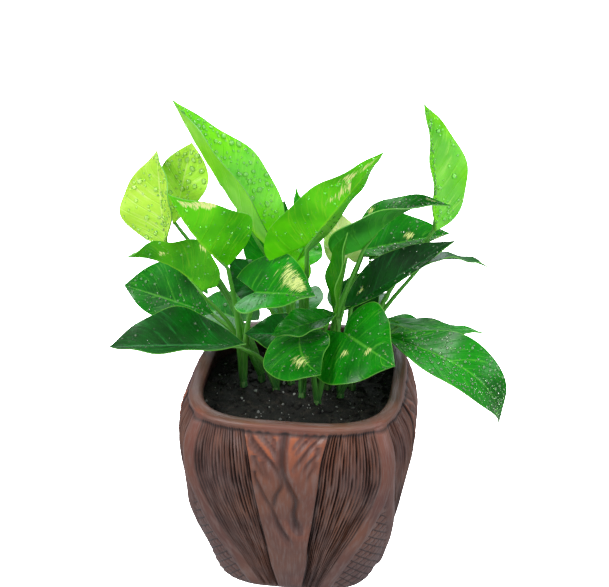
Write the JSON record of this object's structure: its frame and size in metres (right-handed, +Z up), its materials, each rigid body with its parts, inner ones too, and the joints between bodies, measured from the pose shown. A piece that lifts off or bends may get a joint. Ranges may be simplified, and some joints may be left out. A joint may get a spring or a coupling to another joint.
{
  "type": "potted pothos plant",
  "caption": "Young pothos plant with upright and drooping pointed leaves in a bellied square clay pot carved like bark, filled with soil; decoration.",
  "frame": {"origin": "middle of the flat underside of the pot", "axes": "+Z up; +X to the right and -Y towards someone who looks at the front of the pot"},
  "size_m": [0.2325, 0.1543, 0.2901],
  "materials": {
    "clay": "satin",
    "peat": "matte",
    "stalk": "satin",
    "leaf_bright": "satin",
    "leaf_cream": "satin",
    "leaf_deep": "satin",
    "leaf_lime": "satin",
    "leaf_mid": "satin",
    "leaf_pale": "satin"
  },
  "bodies": {
    "root": {"pot": "clay", "soil": "peat", "stem_a": "stalk", "stem_b": "stalk", "stem_c": "stalk", "stem_d": "stalk", "stem_e": "stalk", "stem_f": "stalk", "stem_g": "stalk", "stem_h": "stalk", "stem_i": "stalk", "stem_j": "stalk", "leaf_tall_left": "leaf_lime", "leaf_pale_left": "leaf_pale", "leaf_pale_behind": "leaf_pale", "leaf_heart_left": "leaf_bright", "leaf_wavy_left": "leaf_bright", "leaf_oval_left": "leaf_deep", "leaf_low_left": "leaf_deep", "leaf_centre_patch": "leaf_mid", "leaf_shade_left": "leaf_deep", "leaf_teal_behind": "leaf_mid", "leaf_centre_big": "leaf_bright", "leaf_bud_behind": "leaf_bright", "leaf_pale_mid": "leaf_lime", "leaf_cream": "leaf_cream", "leaf_curled_right": "leaf_deep", "leaf_light_right": "leaf_mid", "leaf_under_right": "leaf_mid", "leaf_tall_right": "leaf_lime", "leaf_dark_right": "leaf_deep", "leaf_olive_back": "leaf_deep", "leaf_far_right": "leaf_deep", "leaf_thin_right": "leaf_mid", "leaf_droop_right": "leaf_mid", "leaf_front_right": "leaf_mid", "leaf_front_left": "leaf_mid", "leaf_shade_front": "leaf_deep", "leaf_bright_small": "leaf_lime", "leaf_young": "leaf_bright", "leaf_back_left": "leaf_mid", "leaf_back_middle": "leaf_mid", "leaf_back_right": "leaf_deep", "leaf_back_low": "leaf_mid", "leaf_back_high": "leaf_bright"}
  },
  "joints": []
}
